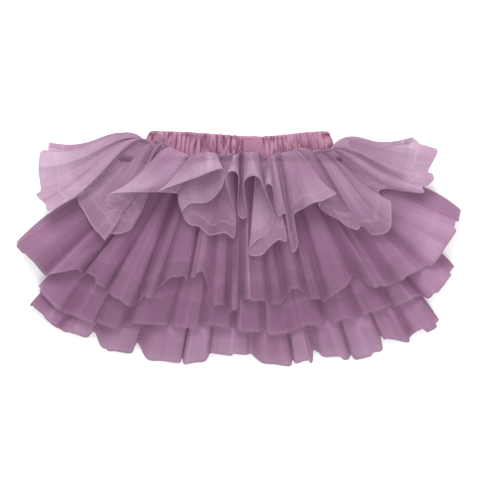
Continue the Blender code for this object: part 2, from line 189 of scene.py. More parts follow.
BULGES = (
    Bulge(-90, 24), Bulge(-82, 21), Bulge(-74, 18), Bulge(-66, 14), Bulge(-54, 9),
    Bulge(-44, 3), Bulge(-34, 8), Bulge(-25, 7), Bulge(-18, 1), Bulge(-6, 4), Bulge(1, 7),
    Bulge(16, 7), Bulge(26, 0), Bulge(40, 5), Bulge(50, 9), Bulge(58, 10), Bulge(66, 6),
    Bulge(74, 10), Bulge(82, 13), Bulge(90, 16),
)

# A deep valley between two folds, sunk and painted darker as shade: its root on the seam and half
# its width there, where it starts and ends on the way to the hem, and its depth. A negative depth
# is a soft ridge, raised and painted lighter.
Valley = namedtuple("Valley", "root half_width start end depth")

TIER_1_VALLEYS = (
    Valley(-42.6, 1.4, 0.08, 0.5, 4.0), Valley(-68, 1.2, 0.1, 0.6, 0.8),
    Valley(-33.5, 1.5, 0.1, 0.6, 1.2), Valley(-20.5, 1.2, 0.05, 0.4, 2.0),
    Valley(27, 1.5, 0.05, 0.5, 2.0), Valley(52, 1.2, 0.2, 0.9, 1.5),
    Valley(61, 1.4, 0.2, 0.9, 1.8), Valley(72, 1.2, 0.2, 0.9, 1.8),
    Valley(80, 1.2, 0.3, 0.9, 1.6), Valley(-10, 3.0, 0.4, 1.3, 1.0),
    Valley(-17, 3.5, 0.1, 1.3, -1.2), Valley(17.5, 3.0, 0.1, 1.3, -0.9),
    Valley(67.5, 4.0, 0.5, 1.5, 1.0), Valley(-15, 2.5, 0.5, 1.5, -1.0),
)
TIER_2_VALLEYS = (
    Valley(-52, 2.6, 0.15, 0.62, 2.6), Valley(-64, 1.6, 0.3, 0.9, 1.4),
    Valley(-30, 1.8, 0.3, 0.8, 1.6), Valley(-2, 2.4, 0.3, 0.97, 2.2),
    Valley(9, 1.2, 0.4, 0.9, 1.2), Valley(24, 1.8, 0.4, 0.85, 1.6),
    Valley(44, 2.2, 0.3, 0.75, 1.6), Valley(66, 2.0, 0.3, 0.8, 1.6),
    Valley(-76, 1.6, 0.4, 0.9, 1.4),
)

# One fold of an inner tier's front, as in the part: its root on the seam, the middle and
# half the run of its crest, the crest's height, and the foot between it and the next crest
Fold = namedtuple("Fold", "root crest half_crest height foot", defaults=(None,))

TIER_2_FOLDS = (
    Fold(-89, (-213, -94), (8, -8), 9, (-196, -114)),
    Fold(-80, (-177, -113), (14, 2), 9, (-159, -119)),
    Fold(-69, (-145, -119), (10, -5), 9, (-131, -129)),
    Fold(-58, (-119, -138), (9, -8), 10, (-104, -144)),
    Fold(-48, (-91, -135), (5, 1), 6, (-81, -126)),
    Fold(-37, (-62, -116), (7, 1), 10, (-49, -118)),
    Fold(-26, (-42, -114), (6, 0), 10, (-30, -135)),
    Fold(-15, (-21, -141), (5, 0), 9, (-12, -147)),
    Fold(-4, (-5, -150), (3, 0), 9, (2, -143)),
    Fold(7, (16, -140), (9, 0), 10, (31, -144)),
    Fold(18, (38, -143), (3, 0), 9, (46, -137)),
    Fold(29, (56, -129), (4, 0), 10, (67, -135)),
    Fold(40, (76, -141), (4, 0), 9, (86, -138)),
    Fold(51, (101, -126), (10, 7), 11, (117, -116)),
    Fold(63, (140, -126), (7, 0), 10, (155, -124)),
    Fold(75, (171, -116), (8, 4), 9, (186, -109)),
    Fold(83, (206, -84), (10, 15), 10),
)
TIER_3_FOLDS = (
    Fold(-88, (-189, -139), (8, -8), 7, (-174, -151)),
    Fold(-74, (-157, -157), (8, -4), 7, (-143, -160)),
    Fold(-60, (-130, -165), (8, -2), 7, (-115, -165)),
    Fold(-45, (-89, -166), (14, -1), 7, (-70, -165)),
    Fold(-30, (-54, -168), (11, 0), 7, (-38, -166)),
    Fold(-15, (-21, -166), (10, -1), 7, (-6, -167)),
    Fold(0, (9, -170), (10, 0), 7, (25, -168)),
    Fold(15, (40, -172), (10, 1), 7, (57, -168)),
    Fold(29, (72, -166), (10, 1), 7, (88, -161)),
    Fold(43, (105, -161), (10, 3), 7, (121, -155)),
    Fold(57, (137, -151), (10, 3), 7, (153, -145)),
    Fold(71, (168, -141), (10, 4), 7, (184, -136)),
    Fold(83, (199, -127), (8, 11), 8),
)
TIER_4_FOLDS = (
    Fold(-86, (-199, -156), (12, -10), 8, (-181, -169)),
    Fold(-70, (-164, -175), (11, -3), 7, (-146, -171)),
    Fold(-52, (-123, -188), (15, -2), 8, (-103, -184)),
    Fold(-35, (-77, -202), (16, -2), 8, (-58, -200)),
    Fold(-20, (-45, -202), (11, 2), 7, (-29, -192)),
    Fold(-5, (-10, -194), (16, -2), 7, (13, -195)),
    Fold(11, (37, -204), (14, -2), 8, (54, -200)),
    Fold(26, (65, -201), (8, 2), 7, (75, -187)),
    Fold(40, (96, -196), (12, 0), 7, (112, -192)),
    Fold(55, (130, -193), (14, 3), 8, (143, -177)),
    Fold(70, (159, -182), (12, -2), 7, (174, -179)),
    Fold(82, (187, -170), (8, 4), 8),
)

# An inner tier's look: the part's ring number and tables, its two side folds, the reach and
# waves of its back, the gathers and pleats round it and how high they stand, how light it is,
# how much paler it gets towards each side, its valleys, and the seed of its noise
InnerTier = namedtuple(
    "InnerTier", "name ring folds levels left right back_reach back_waves gathers flaps "
                 "relief light pale_left pale_right valleys seed")

INNER_TIERS = (
    InnerTier("tier_2", 1, TIER_2_FOLDS, TIER_2_LEVELS, SideFold(-223, -80, 0, 10),
              SideFold(223, -48, 0, 10), 136, 13, 32, 24, 1.5, 0.43, 0.05, 0.4, TIER_2_VALLEYS, 11),
    InnerTier("tier_3", 2, TIER_3_FOLDS, TIER_3_LEVELS, SideFold(-202, -125, 0, 0),
              SideFold(217, -105, 0, 5), 160, 14, 28, 21, 1.4, 0.45, -0.06, 0.08, (), 23),
    InnerTier("tier_4", 3, TIER_4_FOLDS, TIER_4_LEVELS, SideFold(-212, -146, 0, 0),
              SideFold(202, -159, 0, 0), 178, 15, 32, 22, 1.5, 0.57, -0.08, -0.05, (), 37),
)
TIER_1_LEFT = SideFold(-190, 19, 24, 0)
TIER_1_RIGHT = SideFold(173, 24, 15, 0)
TIER_1_BACK_REACH = 90
TIER_1_BACK_WAVES = 10
TIER_1_GATHERS = 60
TIER_1_SEED = 3.0
BACK_HEM_WAVE = 1.5

# How finely the cloth is drawn: columns between two hem places, and rows from seam to hem
TIER_1_STEPS = 5
TIER_1_ROWS = 34
INNER_STEPS = 12
INNER_ROWS = 40
BACK_STEPS = 4

# How a column runs: the share that goes straight down from the seam before it fans out, how far
# that is, how soon a ruffle stands up, how much a long hem adds to the bulge, and what is left
# of a crest's height at its two ends
TIER_1_STRAIGHT_RUN = 0.05
INNER_STRAIGHT_RUN = 0.07
STRAIGHT_DROP = 4.0
LIFT_POWER = 2.2
BULGE_BY_HEM = 0.25
CREST_END = 0.85

# What brings the highest point of each of these curves to one: a bulge near the seam, a bow in
# the middle of the way, and a rise nearer the hem
BULGE_PEAK = 9.48
BOW_PEAK = 4
RISE_PEAK = 6.75

# The cloth map is about in metres: so many times round a circle as wide as the seam's run, and
# this long from seam to hem. Points closer than the last value are one.
MAP_FULLNESS = 4
MAP_LENGTH = 0.1
SAME_PLACE = 1e-7

# Gathers in the cloth: their size, how close they are across and down it, and their own noise.
# Bare numbers inside a noise call only say where the noise is read, and how fast it changes.
Crumple = namedtuple("Crumple", "size across down seed")

BROAD = Crumple(1.7, 1.0, 0.8, 0.0)
FINE = Crumple(1.7, 3.6, 1.4, 5.0)
LINE = Crumple(1.0, 0.7, 0.6, 9.0)
CREASE_WIDTH = 0.05

# A pleat: where its free edge is, as a share of it, how much its place drifts, how it rises,
# how wide its lit edge is, and how much longer or shorter it may hang from a share of the way on
FLAP_FREE = 0.9
FLAP_DRIFT = 0.9
FLAP_RISE_POWER = 1.4
FLAP_EDGE_BACK = 0.02
FLAP_EDGE_WIDTH = 0.035
FLAP_LENGTH = 3.2
FLAP_BROAD_LENGTH = 0.8
FLAP_HANGS = (0.75, 1.0)

# How strong the pleats are: the middle of it and how much it varies, from pleat to pleat and
# along the ring, and the least that is left of a lit edge where the pleats are calm
FLAP_STRENGTH = (0.75, 1.2)
CALM = (0.55, 1.5)
CALM_CHANGES = 8.0
CALM_EDGE = 0.4

# How far the inner tiers' pleats stand up on their way to the hem, and each kind's part in it
PLEAT_START = 0.12
PLEAT_GROWS = (0.05, 0.8)
RELIEF_RISE = 1.1
RELIEF_BROAD = 0.35
RELIEF_FINE = 0.15
RELIEF_SUNK = 0.3

# How far the top tier's gathers stand up, where they begin, and its slow waves
TOP_BROAD = 0.8
TOP_FINE = 0.2
TOP_CREASE = 0.5
TOP_GROWS = (0.0, 0.12)
TOP_WAVE = 1.8
TOP_WAVE_SCALE = 0.045
TOP_WAVE_SEED = 2.0

# The tone of the cloth is painted light and shade, from 0 in a deep shaded fold to 1 on a lit ridge
HIDDEN_TONE = 0.5
BROAD_TONE = 0.16
TOP_LIGHT = 0.47
TOP_FINE_TONE = 0.07
TOP_CREASE_TONE = 0.18
TOP_CROWN_TONE = 0.25
TOP_CROWNS = (32.0, 50.0)
TOP_WING_TONE = 0.06
INNER_FINE_TONE = 0.06
INNER_CREASE_TONE = 0.12
RISE_TONE = 0.22
RISE_MIDDLE = 0.4
EDGE_TONE = 0.2
CREST_TONE = 0.26
CREST_MIDDLE = 0.5

# How much painted shade darkens a valley for each millimetre of its depth, and between which shares
# of its length it is at its deepest
VALLEY_TONE = 0.2
VALLEY_FLOOR = (0.3, 0.6)

# Where the inner tiers and the top tier's wings get paler towards the sides, how the wings get
# paler upwards too, and by how much at the left and at the right
PALE_SIDES = (110.0, 200.0)
PALE_WINGS = (80.0, 165.0)
PALE_UPWARDS = (-70.0, -5.0)
WING_PALENESS = (0.26, 0.2)

# Where the cloth gets denser towards the sides, and how dense
DENSE_SIDES = (150.0, 195.0)
SIDE_DENSITY = 0.93

# A faint line where a second layer's hem would show through: about how far on the way to the
# hem, how much it wanders, the stops of the line and of the step in density, and what is left
# of the density past it
LAYER_AT = 0.7
LAYER_WANDER = 0.25
LAYER_LINE = (0.0, 0.012, 0.02, 0.03)
LAYER_STEP = (0.015, 0.03)
PAST_LAYER = 0.88


def catmull(before, start, end, after, share):
    """Smooth value between start and end."""
    square = share * share
    cube = square * share
    return 0.5 * (2 * start + (end - before) * share
                  + (2 * before - 5 * start + 4 * end - after) * square
                  + (3 * start - before - 3 * end + after) * cube)


def straight(start, end, share):
    return start + (end - start) * share


def clamp(value):
    return min(max(value, 0.0), 1.0)


def smooth_step(low, high, value):
    share = clamp((value - low) / (high - low))
    return share * share * (3 - 2 * share)


def bell(value, width):
    """One at zero, and next to nothing a few widths away."""
    return math.exp(-(value / width) ** 2)


def varied(spread, *at):
    """A share that changes smoothly from place to place, from its middle and its spread."""
    return clamp(spread[0] + spread[1] * noise.noise(Vector(at)))


def table_value(rows, at):
    """Smooth value of a two-column table at a place."""
    stops = [row[0] for row in rows]
    index = min(max(bisect_right(stops, at) - 1, 0), len(rows) - 2)
    share = clamp((at - stops[index]) / (stops[index + 1] - stops[index]))
    four = [rows[min(max(index + step, 0), len(rows) - 1)][1] for step in (-1, 0, 1, 2)]
    return catmull(*four, share)


def level_at(levels, away):
    """The tier's levels at a distance from the seam."""
    stops = [level.away for level in levels]
    index = min(max(bisect_right(stops, away), 1), len(levels) - 1)
    low, high = levels[index - 1], levels[index]
    share = clamp((away - low.away) / (high.away - low.away))
    return Level(*(straight(a, b, share) for a, b in zip(low, high)))


def away_from_seam(x, y):
    """Distance in plan from the straight run of the waist seam."""
    return math.hypot(max(abs(x) - SEAM_EDGE, 0.0), y)


def refined(columns, steps):
    """Columns on a smooth closed curve through the given ones."""
    made = []
    count = len(columns)
    for index, here in enumerate(columns):
        four = [columns[(index + step) % count] for step in (-1, 0, 1, 2)]
        parts = steps(here, four[2])
        for step in range(parts):
            share = step / parts
            made.append(Column(*(
                catmull(*values, share) if field in SMOOTHED else straight(*values[1:3], share)
                for field, values in zip(Column._fields, zip(*four)))))
    return made


def back_columns(left, right, reach, waves):
    """The back's even waves, from the right side to the left."""
    made = []
    right_angle = min(math.atan2(right.y, right.x - SEAM_EDGE), 0.0)
    left_angle = math.atan2(left.y, left.x + SEAM_EDGE)
    left_angle = -math.pi if left_angle > 0 else left_angle
    steps = waves * 2
    for step in range(1, steps):
        share = step / steps
        angle = straight(right_angle, left_angle, share)
        ridge = 1.0 if step % 2 == 1 else 0.0
        root = SEAM_HALF_RUN * (1 - 2 * share)
        length = reach - BACK_HEM_WAVE * ridge
        made.append(Column(root, BACK, root + length * math.cos(angle),
                           length * math.sin(angle), ridge, 1.0, 0.0))
    return made


def side_columns(side, neighbour, end):
    """The columns that carry the cloth round the end of the seam's ring."""
    made = []
    for turn, blend in SIDE_STEPS:
        angle = abs(end - turn)
        drop = (1 - math.cos(math.radians(angle))) / 2
        sideways = math.sin(math.radians(angle))
        made.append(Column(math.copysign(SEAM_HALF_RUN, side.x), angle,
                           straight(side.x, neighbour.x, blend),
                           straight(side.y, neighbour.y, blend),
                           neighbour.lift * blend, drop, side.bulge * sideways, 0.0,
                           side.rise * sideways))
    return made


def side_fold(side):
    return Column(math.copysign(SEAM_HALF_RUN, side.x), SIDE, side.x, side.y, 0.0, 0.5,
                  side.bulge, 0.0, side.rise)


def closed_ring(front, left, right, reach, waves):
    """All the columns of a tier, from its left side along the front and back behind it."""
    back = back_columns(left, right, reach, waves)
    return ([side_fold(left)] + side_columns(left, front[0], FRONT) + front
            + side_columns(right, front[-1], FRONT)[::-1] + [side_fold(right)]
            + side_columns(right, back[0], BACK) + back
            + side_columns(left, back[-1], BACK)[::-1])


def tier_1_front():
    return [Column(hem.root, FRONT, hem.x, hem.y, hem.lift, 0.0,
                   table_value(BULGES, hem.root) + BULGE_BY_HEM * abs(hem.y), hem.bow)
            for hem in TIER_1_HEM]


def inner_front(folds):
    """The start, middle and end of every fold's crest, and the foot between it and the next."""
    made = []
    ends = [fold.root for fold in folds[1:]] + [SEAM_HALF_RUN]
    for fold, end in zip(folds, ends):
        places = [(fold.crest[0] + side * fold.half_crest[0],
                   fold.crest[1] + side * fold.half_crest[1],
                   fold.height * (CREST_END if side else 1.0)) for side in (-1, 0, 1)]
        if fold.foot:
            places.append((*fold.foot, 0.0))
        for step, (x, y, lift) in enumerate(places):
            root = fold.root + (end - fold.root) * step / len(places)
            made.append(Column(root, FRONT, x, y, lift, 0.0, 0.0))
    return made


def root_place(ring, column):
    """Where a column leaves the seam's ring: x, and its share of the way to the back."""
    radius = RING_RADIUS - ring * RING_PITCH
    turn = math.radians(column.turn)
    x = column.root + math.copysign(radius * math.sin(turn), column.root)
    return x, (1 - math.cos(turn)) / 2


def cloth_point(ring, levels, column, share, straight_run, highest=None):
    """A point of the cloth's outer face, at a share of the way from the seam to the hem.

    An inner tier gives the height of its highest fold, and rises by its levels.
    """
    root_x, root_drop = root_place(ring, column)
    fan = max(share - straight_run, 0.0) / (1 - straight_run)
    x = straight(root_x, column.x, fan)
    x += column.bow * BOW_PEAK * share * (1 - share)
    if column.bulge:
        y = straight(0.0, column.y, share)
    else:
        y = straight(0.0, column.y, fan)
        y -= min(share / straight_run, 1.0) * STRAIGHT_DROP * (1 - fan)
    y += column.bulge * BULGE_PEAK * share * (1 - share) ** 3
    y += column.rise * RISE_PEAK * share * share * (1 - share)
    level = level_at(levels, away_from_seam(x, y))
    if highest:
        front = level.front + level.front_rise * column.lift / highest
    else:
        front = level.front + column.lift * (1 - (1 - share) ** LIFT_POWER)
    back = level.back + (level.back_rise * column.lift if column.turn == BACK else 0.0)
    drop = straight(root_drop, column.drop, share ** 2)
    return x, y, straight(front, back, drop)


def make_cloth(name, grid, pleats, material, thickness):
    """A ring of cloth from rows of points: a grid shape, moved into place and closed."""
    columns = len(grid)
    rows = len(grid[0]) - 1
    mesh = bmesh.new()
    bmesh.ops.create_grid(mesh, x_segments=columns, y_segments=rows, size=1.0)
    cloth_map = mesh.loops.layers.uv.new("cloth")
    fold_map = mesh.loops.layers.uv.new("fold")
    spots = {}
    for vert in mesh.verts:
        column = round((vert.co.x + 1) / 2 * columns)
        row = rows - round((vert.co.y + 1) / 2 * rows)
        spots[vert] = (column, row)
        x, y, z = grid[column % columns][row]
        vert.co = (x * MM, (y + SEAM_Y) * MM, z * MM)
    pitch = 2 * math.pi * SEAM_HALF_RUN / columns
    for face in mesh.faces:
        for loop in face.loops:
            column, row = spots[loop.vert]
            share = row / rows
            loop[cloth_map].uv = (column * pitch * MM * MAP_FULLNESS, share * MAP_LENGTH)
            # The fold map carries the painted light and shade of each point, and its share of the
            # way to the hem
            loop[fold_map].uv = (pleats[column % columns][row], share)
    bmesh.ops.remove_doubles(mesh, verts=mesh.verts, dist=SAME_PLACE)
    data = bpy.data.meshes.new(name)
    mesh.to_mesh(data)
    mesh.free()
    data.shade_smooth()
    data.materials.append(material)
    piece = bpy.data.objects.new(name, data)
    bpy.context.scene.collection.objects.link(piece)
    solid = piece.modifiers.new("cloth thickness", "SOLIDIFY")
    solid.thickness = thickness * MM
    solid.offset = -1.0
    return piece


def gathers(place, count, share, seed):
    """Folds of gathered tulle: broad ones, fine ones, and narrow creases between them."""
    broad, fine, line = (
        kind.size * noise.noise(Vector((place * count * kind.across, share * kind.down,
                                        seed + kind.seed)))
        for kind in (BROAD, FINE, LINE))
    return broad, fine, bell(line, CREASE_WIDTH)


def valley_depth(valleys, root, share):
    """How deep the cloth lies in its valleys, in millimetres."""
    depth = 0.0
    for valley in valleys:
        deep_from, deep_to = (straight(valley.start, valley.end, at) for at in VALLEY_FLOOR)
        along = smooth_step(valley.start, deep_from, share)
        along *= 1 - smooth_step(deep_to, valley.end, share)
        depth += valley.depth * along * bell(root - valley.root, valley.half_width)
    return depth


def flap(place, count, share, seed, leftwards):
    """Where a place lies on its pleat: the pleat's rise, its free edge, and its own length."""
    drift = noise.noise(Vector((place * count * 0.45, share * 0.3, seed)))
    beat = (-place if leftwards else place) * count + FLAP_DRIFT * drift
    number = math.floor(beat)
    within = beat - number
    if within < FLAP_FREE:
        rise = within ** FLAP_RISE_POWER
    else:
        rise = 1 - (within - FLAP_FREE) / (1 - FLAP_FREE)
    edge = bell(within - FLAP_FREE + FLAP_EDGE_BACK, FLAP_EDGE_WIDTH)
    own = [2 * noise.noise(Vector((step * 3.71 + 0.5, seed, 1.7))) for step in (number, number + 1)]
    length = straight(*own, smooth_step(FLAP_FREE, 1.0, within))
    strength = varied(FLAP_STRENGTH, number * 2.3 + 0.4, seed, 6.1)
    return rise * strength, edge * strength, length


def shows(column):
    return column.turn == FRONT and abs(column.root) < SEAM_HALF_RUN


def make_inner_tier(tier, material):
    """A tier under the top one: a fan of pleats that lie on each other like shingles."""
    ring = closed_ring(inner_front(tier.folds), tier.left, tier.right, tier.back_reach,
                       tier.back_waves)
    columns = refined(ring, lambda a, b: INNER_STEPS if a.turn == b.turn == FRONT else BACK_STEPS)
    highest = max(fold.height for fold in tier.folds)
    grid, pleats = [], []
    for index, column in enumerate(columns):
        place = index / len(columns)
        showing = shows(column)
        run = math.hypot(column.x - column.root, column.y)
        aside, down = (column.x - column.root) / run, column.y / run
        line, tones = [], []
        for row in range(INNER_ROWS + 1):
            share = row / INNER_ROWS
            x, y, z = cloth_point(tier.ring, tier.levels, column, share, INNER_STRAIGHT_RUN,
                                  highest)
            tone = HIDDEN_TONE
            if showing:
                broad, fine, crease = gathers(place, tier.gathers, share, tier.seed)
                calm = varied(CALM, place * CALM_CHANGES, tier.seed, 0.3)
                rise, edge, length = flap(place, tier.flaps, share, tier.seed + 0.5,
                                          column.root < 0)
                rise *= calm
                edge *= straight(CALM_EDGE, 1.0, calm)
                broad *= calm
                depth = valley_depth(tier.valleys, column.root, share)
                grow = straight(PLEAT_START, 1.0, smooth_step(*PLEAT_GROWS, share))
                z += tier.relief * grow * (RELIEF_RISE * rise + RELIEF_BROAD * broad
                                           + RELIEF_FINE * fine - RELIEF_SUNK) - depth
                more = smooth_step(*FLAP_HANGS, share) * (FLAP_LENGTH * length
                                                          + FLAP_BROAD_LENGTH * broad)
                x += aside * more
                y += down * more
                # Painted light and shade: lighter on raised pleats, their lit edges, broad folds
                # and crests, and darker in creases and valleys. The sides get paler too.
                tone = (tier.light + RISE_TONE * (rise - RISE_MIDDLE) + BROAD_TONE * broad
                        + INNER_FINE_TONE * fine - INNER_CREASE_TONE * crease)
                tone += EDGE_TONE * edge + CREST_TONE * (column.lift / highest - CREST_MIDDLE)
                tone -= VALLEY_TONE * depth
                tone += tier.pale_right * smooth_step(*PALE_SIDES, x)
                tone += tier.pale_left * smooth_step(*PALE_SIDES, -x)
            line.append((x, y, max(z, LOWEST_TULLE)))
            tones.append(clamp(tone))
        grid.append(line)
        pleats.append(tones)
    return make_cloth(tier.name + "_tulle", grid, pleats, material, TULLE_THICKNESS)


def make_top_tier(material):
    """The top tier: ruffles that stand up, fold back on themselves and spill to the sides."""
    ring = closed_ring(tier_1_front(), TIER_1_LEFT, TIER_1_RIGHT, TIER_1_BACK_REACH,
                       TIER_1_BACK_WAVES)
    columns = refined(ring, lambda a, b: TIER_1_STEPS)
    grid, pleats = [], []
    for index, column in enumerate(columns):
        place = index / len(columns)
        showing = shows(column)
        line, tones = [], []
        for row in range(TIER_1_ROWS + 1):
            share = row / TIER_1_ROWS
            x, y, z = cloth_point(0, TIER_1_LEVELS, column, share, TIER_1_STRAIGHT_RUN)
            tone = HIDDEN_TONE
            if showing:
                broad, fine, crease = gathers(place, TIER_1_GATHERS, share, TIER_1_SEED)
                z += smooth_step(*TOP_GROWS, share) * (TOP_BROAD * broad + TOP_FINE * fine
                                                       - TOP_CREASE * crease)
                wave_at = Vector((x * TOP_WAVE_SCALE, y * TOP_WAVE_SCALE, TOP_WAVE_SEED))
                z += TOP_WAVE * noise.noise(wave_at) * share
                depth = valley_depth(TIER_1_VALLEYS, column.root, share)
                z -= depth
                # Painted light and shade: lighter on broad folds and on the high tops of the
                # ruffles, and darker in creases and valleys. The wings get paler too.
                tone = (TOP_LIGHT + BROAD_TONE * broad + TOP_FINE_TONE * fine
                        - TOP_CREASE_TONE * crease)
                tone += TOP_CROWN_TONE * smooth_step(*TOP_CROWNS, z)
                upward = WING_PALENESS[x > 0] * smooth_step(*PALE_UPWARDS, y)
                tone += smooth_step(*PALE_WINGS, abs(x)) * (TOP_WING_TONE + upward)
                tone -= VALLEY_TONE * depth
            line.append((x, y, max(z, LOWEST_TULLE)))
            tones.append(clamp(tone))
        grid.append(line)
        pleats.append(tones)
    return make_cloth("tier_1_tulle", grid, pleats, material, TULLE_THICKNESS)


# The waistband's gathers: where each stretch of the front starts and ends, how many gathers it
# has, and how deep they are
Stretch = namedtuple("Stretch", "start end gathers depth")

BAND_STRETCHES = (
    Stretch(-90, -70, 5, 1.0),
    Stretch(-70, -30, 8, 1.0),
    Stretch(-30, 5, 5, 1.0),
    Stretch(5, 26, 1, 0.12),
    Stretch(26, 50, 5, 0.9),
    Stretch(50, 90, 11.5, 1.0),
)
BAND_GATHER_STEPS = 12
BAND_SIDE_STEPS = 8
BAND_ROWS = 26

# The waistband's form: its height, where its top edge dips, how much it narrows upwards, and its
# distances from the middle of the band inside, in a gather's valley, on its ridge and where the
# top edge closes, the shares of the height where it closes, and how wavy that edge is
BAND_HEIGHT = 30.0
BAND_DIP = 5.5
BAND_DIP_AT = 22.0
BAND_DIP_SPREADS = (62.0, 42.0)
BAND_TAPER = 4.5
BAND_TAPER_POWER = 1.5
BAND_INNER = 2.1
BAND_VALLEY = 4.2
BAND_RIDGE = 6.35
BAND_CLOSED = 3.65
BAND_CLOSES = (0.93, 1.0)
BAND_TOP_WAVE = 0.7

# How the gathers lean, and how that moves them along their beat and sideways
BAND_LEAN = 1.3
BAND_LEAN_BEAT = 0.5
BAND_LEAN_ACROSS = 0.9

# Every gather has its own number, which jumps by the second value after so many millimetres. It
# sets how deep the valley is and how clear the faint crease on the ridge is.
BAND_PATCH = 20
BAND_PATCH_NUMBERS = 40
BAND_DEEP = (0.95, 1.4)
BAND_DEEP_WIDTH = 0.55
BAND_FAINT = (0.3, 1.8)
BAND_FAINT_AT = 0.9
BAND_FAINT_WIDTH = 0.2
BAND_FAINT_DEPTH = 0.7

# The header line under the top edge, a shallow groove with painted shade, which is weaker between
# the creases
HEADER_AT = 0.9
HEADER_WIDTH = 0.035
HEADER_DEPTH = 0.25
HEADER_LEAST = 0.4

# A stretch whose gathers are less deep than this is flat, and this much darker
FLAT_DEPTH = 0.5
FLAT_TONE = 0.2


def band_ring():
    """Places round the waistband, with how far each stands on a gather."""
    front = []
    for stretch in BAND_STRETCHES:
        count = int(stretch.gathers * BAND_GATHER_STEPS)
        for step in range(count):
            share = step / count
            front.append((straight(stretch.start, stretch.end, share),
                          share * stretch.gathers, stretch.depth))
    turns = [step / BAND_SIDE_STEPS for step in range(BAND_SIDE_STEPS)]
    ring = [(x, beat, depth, 0.0) for x, beat, depth in front]
    ring += [(SEAM_HALF_RUN, 0.5, 1.0, turn) for turn in turns]
    ring += [(x, beat, 1.0, 1.0) for x, beat, _ in reversed(front)]
    ring += [(-SEAM_HALF_RUN, 0.5, 1.0, 1 - turn) for turn in turns]
    return ring


def make_waistband(material):
    """A cotton casing gathered over elastic, closed along its top edge."""
    grid, pleats = [], []
    for x, beat, depth, drop in band_ring():
        angle = math.pi * drop
        dip = BAND_DIP * bell(x - BAND_DIP_AT, BAND_DIP_SPREADS[x > BAND_DIP_AT])
        line, tones = [], []
        for row in range(2 * BAND_ROWS + 1):
            outside = row <= BAND_ROWS
            share = row / BAND_ROWS if outside else 2 - row / BAND_ROWS
            lean = BAND_LEAN * noise.noise(Vector((x * 0.11, share * 1.3, 4.0)))
            phase = beat + BAND_LEAN_BEAT * lean
            number = math.floor(phase + 0.5) + BAND_PATCH_NUMBERS * math.floor(x / BAND_PATCH)
            deep = varied(BAND_DEEP, number * 1.73, share * 1.8, 9.0)
            faint = varied(BAND_FAINT, number * 2.9, share * 2.6, 5.0)
            wave = abs(math.sin(math.pi * phase))
            crease = deep * bell(wave, BAND_DEEP_WIDTH)
            crease += faint * bell(wave - BAND_FAINT_AT, BAND_FAINT_WIDTH) * BAND_FAINT_DEPTH
            header = HEADER_DEPTH * bell(share - HEADER_AT, HEADER_WIDTH)
            ridge = 1 - clamp(crease * depth + header * straight(HEADER_LEAST, 1.0, crease))
            closing = smooth_step(*BAND_CLOSES, share)
            face = straight(BAND_VALLEY, BAND_RIDGE, ridge) if outside else BAND_INNER
            radius = straight(face, BAND_CLOSED, closing)
            top = BAND_HEIGHT - dip + BAND_TOP_WAVE * (wave - 0.5) * closing
            across = x * (1 - BAND_TAPER / SEAM_HALF_RUN * share ** BAND_TAPER_POWER)
            across += math.copysign(radius * math.sin(angle), x)
            if drop in (0.0, 1.0):
                across += BAND_LEAN_ACROSS * lean * share
            line.append((across, SEAM_GAP + (top - SEAM_GAP) * share,
                         max(SEAM_MID_Z + radius * math.cos(angle), LOWEST_COTTON)))
            # The tone is painted shade in the creases and along the header line, and painted light
            # on the ridges; a flat stretch is darker too
            tones.append(clamp(ridge - (FLAT_TONE if depth < FLAT_DEPTH else 0.0)))
        grid.append(line)
        pleats.append(tones)
    return make_cloth("waistband_cotton", grid, pleats, material, COTTON_THICKNESS)


def add(tree, kind, **settings):
    """A node with its settings."""
    node = tree.nodes.new(kind)
    for name, value in settings.items():
        setattr(node, name, value)
    return node


def set_inputs(node, values):
    """Plain values for a node's sockets, by their names."""
    for name, value in values.items():
        node.inputs[name].default_value = value


